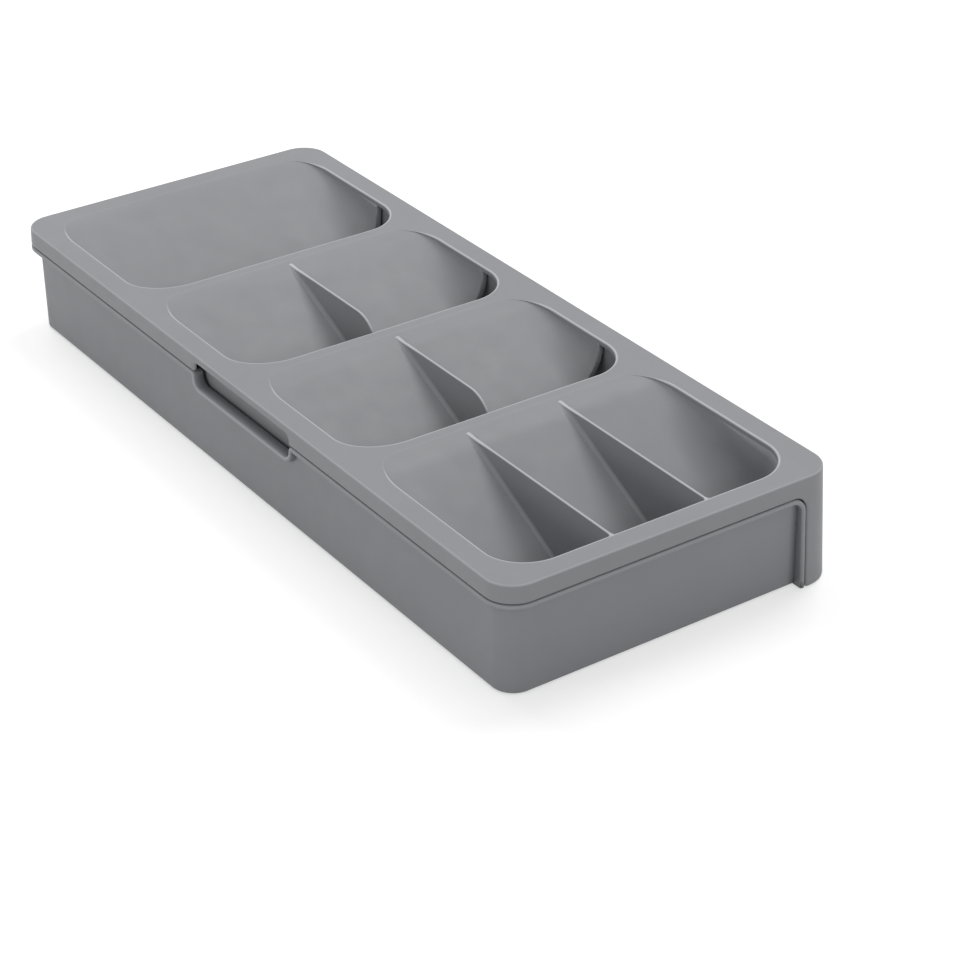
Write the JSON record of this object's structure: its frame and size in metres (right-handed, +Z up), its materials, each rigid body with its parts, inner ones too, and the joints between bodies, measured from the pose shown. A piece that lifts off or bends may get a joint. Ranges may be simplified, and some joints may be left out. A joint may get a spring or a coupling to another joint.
{
  "type": "cutlery drawer organizer",
  "caption": "Compact grey plastic cutlery organizer for a kitchen drawer: a tray of sloping, divided scoops that slides over a low open base with a finger slot.",
  "frame": {"origin": "middle of the footprint, on the surface the organizer stands on, with the tray slid home", "axes": "+X across, from the finger slot side to the apron side; +Y along, from the near row of three compartments to the far undivided row; +Z up"},
  "size_m": [0.165, 0.4064, 0.0508],
  "materials": {
    "tray_plastic": "fine matte moulded polypropylene, neutral mid grey",
    "base_plastic": "fine matte moulded polypropylene, neutral mid grey",
    "foot_elastomer": "soft matte dark grey"
  },
  "bodies": {
    "base": {"base_floor": "base_plastic", "base_near_wall": "base_plastic", "base_left_wall": "base_plastic", "base_far_wall": "base_plastic", "base_near_flange": "base_plastic", "base_left_flange": "base_plastic", "base_far_flange": "base_plastic", "grip_collar": "base_plastic", "stop_rib": "base_plastic", "near_left_foot": "foot_elastomer", "near_right_foot": "foot_elastomer", "far_left_foot": "foot_elastomer", "far_right_foot": "foot_elastomer"},
    "tray": {"top_plate": "tray_plastic", "skirt": "tray_plastic", "side_apron": "tray_plastic", "left_inner_wall": "tray_plastic", "right_inner_wall": "tray_plastic", "near_inner_wall": "tray_plastic", "far_inner_wall": "tray_plastic", "guide_rail": "tray_plastic", "near_scoop": "tray_plastic", "second_scoop": "tray_plastic", "third_scoop": "tray_plastic", "far_scoop": "tray_plastic", "near_scoop_left_side": "tray_plastic", "near_scoop_right_side": "tray_plastic", "second_scoop_left_side": "tray_plastic", "second_scoop_right_side": "tray_plastic", "third_scoop_left_side": "tray_plastic", "third_scoop_right_side": "tray_plastic", "far_scoop_left_side": "tray_plastic", "far_scoop_right_side": "tray_plastic", "near_left_divider": "tray_plastic", "near_right_divider": "tray_plastic", "second_divider": "tray_plastic", "third_divider": "tray_plastic"}
  },
  "joints": [
    {"name": "tray_slide", "type": "slide", "parent": "base", "child": "tray", "axis": [1, 0, 0], "range_m": [0, 0.11]}
  ]
}
